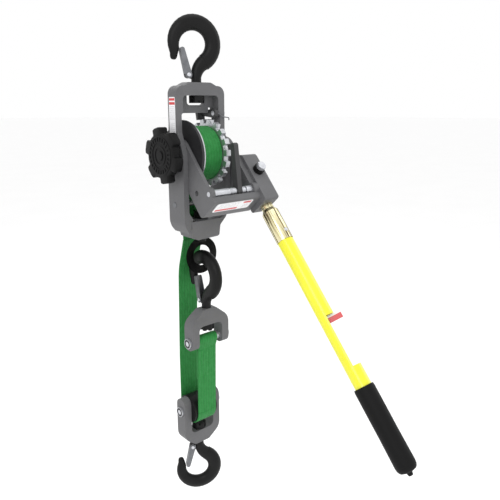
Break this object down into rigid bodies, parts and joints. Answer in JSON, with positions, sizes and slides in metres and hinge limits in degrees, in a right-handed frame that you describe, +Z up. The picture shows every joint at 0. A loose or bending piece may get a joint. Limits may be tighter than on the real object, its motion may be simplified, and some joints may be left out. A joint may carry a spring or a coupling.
{
  "type": "strap ratchet hoist",
  "caption": "Lever ratchet hoist with a green web strap on a drum in a grey cast frame, swivel hooks with latches, a hook block and a long yellow handle.",
  "frame": {"origin": "the point of the top hook's bowl that hangs on the anchorage, on the load line", "axes": "+Z up along the load line, +X along the drum axis towards the handle's side, -Y towards the lever"},
  "size_m": [0.1598, 0.438, 0.8281],
  "materials": {
    "cast_grey": "fine textured grey enamel over a casting",
    "zinc": "bright zinc plate",
    "bronze": "plain bearing bronze",
    "forged_black": "black powder coat over forged steel",
    "dark_steel": "dark oxide finish, satin",
    "green_web": "woven polyester webbing with lengthwise ribs",
    "latch_zinc": "dull zinc plated sheet",
    "black_plastic": "moulded, fine grain",
    "black_rubber": "moulded rubber, slightly satin",
    "yellow_zinc": "yellow chromate over zinc, turned",
    "yellow_paint": "smooth yellow insulating tube",
    "label_white": "printed film",
    "label_red": "printed film",
    "sheave_black": "hard black plastic"
  },
  "bodies": {
    "root": {"frame": "cast_grey", "frame_bushes": "bronze", "guide_pin": "zinc", "holding_pawl_pin": "zinc", "side_label": "label_white", "strap_upper_run": "green_web", "strap_back_leg": "green_web", "strap_front_leg": "green_web", "strap_end_loop": "green_web", "dead_end_clevis": "cast_grey", "dead_end_pin": "zinc", "dead_end_cotter": "zinc"},
    "drum": {"drum_shaft": "zinc", "drum_core": "dark_steel", "drum_flange": "zinc", "friction_disc": "dark_steel", "ratchet_wheel": "zinc", "wound_strap": "green_web", "shaft_spacer": "dark_steel", "shaft_clip": "zinc", "handwheel": "black_plastic", "handwheel_cap": "black_plastic"},
    "holding_pawl": {"holding_pawl": "dark_steel", "release_wire": "zinc"},
    "lever": {"lever_yoke": "cast_grey", "drive_pawl_pin": "zinc", "pawl_pin_sleeves": "zinc", "pawl_springs": "zinc", "handle_ferrule": "yellow_zinc", "ferrule_rivet": "zinc", "handle_tube": "yellow_paint", "handle_grip": "black_rubber", "yoke_label": "label_white", "handle_label": "label_red", "plunger_housing": "dark_steel"},
    "drive_pawl": {"drive_pawl": "dark_steel"},
    "plunger": {"plunger": "zinc"},
    "top_hook": {"top_hook": "forged_black", "top_hook_nut": "forged_black", "top_latch_pin": "zinc"},
    "top_latch": {"top_latch": "latch_zinc"},
    "anchor_eye": {"anchor_eye": "forged_black", "anchor_eye_nut": "forged_black"},
    "dead_end_hook": {"dead_end_hook": "forged_black", "dead_end_nut": "forged_black", "dead_end_latch_pin": "zinc"},
    "dead_end_latch": {"dead_end_latch": "latch_zinc"},
    "block": {"block_clevis": "cast_grey", "block_pin": "zinc", "block_cotter": "zinc", "strap_bight": "green_web"},
    "sheave": {"sheave": "sheave_black"},
    "load_hook": {"load_hook": "forged_black", "load_hook_nut": "forged_black", "load_latch_pin": "zinc"},
    "load_latch": {"load_latch": "latch_zinc"}
  },
  "joints": [
    {"name": "drum_spin", "type": "hinge", "parent": "root", "child": "drum", "pos_m": [0, 0, -0.1835], "axis": [1, 0, 0], "range_deg": [0, 240]},
    {"name": "block_lift", "type": "slide", "parent": "root", "child": "block", "axis": [0, 0, 1], "range_m": [0, 0.09006], "deforming": ["strap_back_leg", "strap_front_leg"]},
    {"name": "sheave_spin", "type": "hinge", "parent": "block", "child": "sheave", "pos_m": [0, 0.012, -0.6335], "axis": [1, 0, 0], "range_deg": [0, 200.79]},
    {"name": "lever_swing", "type": "hinge", "parent": "root", "child": "lever", "pos_m": [0, 0, -0.1835], "axis": [-1, 0, 0], "range_deg": [-12, 60]},
    {"name": "drive_pawl_swing", "type": "hinge", "parent": "lever", "child": "drive_pawl", "pos_m": [0.0206, -0.07376, -0.23716], "axis": [-1, 0, 0], "range_deg": [0, 6.6]},
    {"name": "holding_pawl_swing", "type": "hinge", "parent": "root", "child": "holding_pawl", "pos_m": [0, -0.007, -0.1215], "axis": [-1, 0, 0], "range_deg": [0, 15]},
    {"name": "plunger_pull", "type": "slide", "parent": "lever", "child": "plunger", "axis": [0, -0.7513, 0.66], "range_m": [0, 0.008], "stiffness_N_per_m": 400, "springref_m": -0.003},
    {"name": "top_hook_swivel", "type": "hinge", "parent": "root", "child": "top_hook", "pos_m": [0, 0, -0.075], "axis": [0, 0, 1], "continuous": true},
    {"name": "top_latch_open", "type": "hinge", "parent": "top_hook", "child": "top_latch", "pos_m": [-0.01203, 0.00438, -0.064], "axis": [0.342, 0.9397, 0], "range_deg": [0, 31], "stiffness_Nm_per_rad": 0.06, "springref_deg": -20.05},
    {"name": "anchor_eye_swivel", "type": "hinge", "parent": "root", "child": "anchor_eye", "pos_m": [0, -0.004, -0.2875], "axis": [0, 0, 1], "range_deg": [-12, 12]},
    {"name": "dead_end_hook_swivel", "type": "hinge", "parent": "root", "child": "dead_end_hook", "pos_m": [0, -0.014, -0.44002], "axis": [0, 0, 1], "range_deg": [-8, 8]},
    {"name": "dead_end_latch_open", "type": "hinge", "parent": "dead_end_hook", "child": "dead_end_latch", "pos_m": [0, -0.0012, -0.42902], "axis": [1, 0, 0], "range_deg": [0, 31], "stiffness_Nm_per_rad": 0.06, "springref_deg": -20.05},
    {"name": "load_hook_swivel", "type": "hinge", "parent": "block", "child": "load_hook", "pos_m": [-0.003, 0.012, -0.7055], "axis": [0, 0, 1], "continuous": true},
    {"name": "load_latch_open", "type": "hinge", "parent": "load_hook", "child": "load_latch", "pos_m": [-0.0143, 0.01801, -0.7165], "axis": [-0.4695, -0.8829, 0], "range_deg": [0, 31], "stiffness_Nm_per_rad": 0.06, "springref_deg": -20.05}
  ],
  "couplings": [
    {"joint": "block_lift", "follows": "drum_spin", "m_per_rad": 0.0215},
    {"joint": "sheave_spin", "follows": "drum_spin", "ratio": 0.83658}
  ]
}
